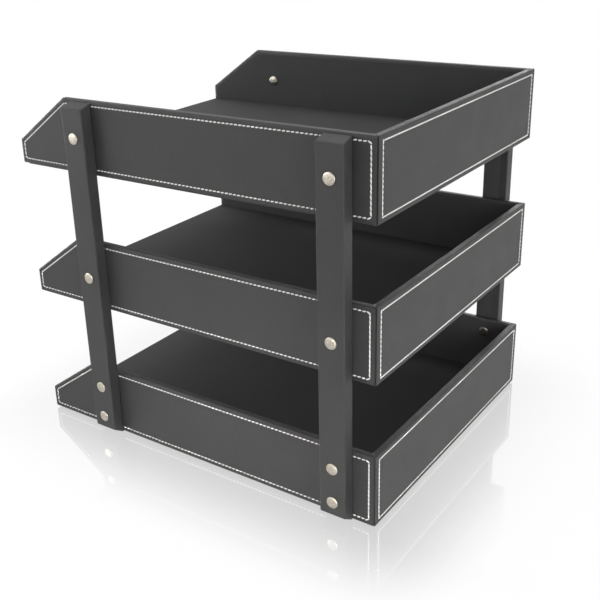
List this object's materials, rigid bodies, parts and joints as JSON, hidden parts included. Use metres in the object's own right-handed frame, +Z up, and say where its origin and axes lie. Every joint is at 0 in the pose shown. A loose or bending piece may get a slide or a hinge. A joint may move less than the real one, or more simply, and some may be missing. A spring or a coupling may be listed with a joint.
{
  "type": "three-tier document tray",
  "caption": "Stacked open-front document trays in dark grey leatherette with pale stitching, held one above another by wrapped side posts and binding screws.",
  "frame": {"origin": "on the desk, under the middle of the tray's overall box", "axes": "+Z up, +Y towards the back walls, +X to the right as seen from the open fronts"},
  "size_m": [0.2842, 0.33, 0.2869],
  "materials": {
    "leatherette": "fine-grained dark grey leatherette, satin",
    "lining": "plain near-black lining, matt",
    "fibreboard": "raw fibreboard, hidden under the coverings",
    "felt": "black felt",
    "thread": "cream seam thread",
    "nickel": "warm nickel plate, lightly polished",
    "steel": "plain wire"
  },
  "bodies": {
    "root": {"lower_left_board": "fibreboard", "lower_left_cover": "leatherette", "lower_left_lining": "lining", "lower_right_board": "fibreboard", "lower_right_cover": "leatherette", "lower_right_lining": "lining", "lower_back_board": "fibreboard", "lower_back_cover": "leatherette", "lower_back_lining": "lining", "lower_floor_board": "fibreboard", "lower_floor_lining": "lining", "lower_felt_sheet": "felt", "lower_seam_thread": "thread", "lower_brads": "steel", "middle_left_board": "fibreboard", "middle_left_cover": "leatherette", "middle_left_lining": "lining", "middle_right_board": "fibreboard", "middle_right_cover": "leatherette", "middle_right_lining": "lining", "middle_back_board": "fibreboard", "middle_back_cover": "leatherette", "middle_back_lining": "lining", "middle_floor_board": "fibreboard", "middle_floor_lining": "lining", "middle_felt_sheet": "felt", "middle_seam_thread": "thread", "middle_brads": "steel", "upper_left_board": "fibreboard", "upper_left_cover": "leatherette", "upper_left_lining": "lining", "upper_right_board": "fibreboard", "upper_right_cover": "leatherette", "upper_right_lining": "lining", "upper_back_board": "fibreboard", "upper_back_cover": "leatherette", "upper_back_lining": "lining", "upper_floor_board": "fibreboard", "upper_floor_lining": "lining", "upper_felt_sheet": "felt", "upper_seam_thread": "thread", "upper_brads": "steel", "front_left_post_core": "fibreboard", "front_left_post_cover": "leatherette", "front_left_binding_barrels": "nickel", "front_left_binding_screws": "nickel", "front_right_post_core": "fibreboard", "front_right_post_cover": "leatherette", "front_right_binding_barrels": "nickel", "front_right_binding_screws": "nickel", "rear_left_post_core": "fibreboard", "rear_left_post_cover": "leatherette", "rear_left_binding_barrels": "nickel", "rear_left_binding_screws": "nickel", "rear_right_post_core": "fibreboard", "rear_right_post_cover": "leatherette", "rear_right_binding_barrels": "nickel", "rear_right_binding_screws": "nickel"}
  },
  "joints": []
}
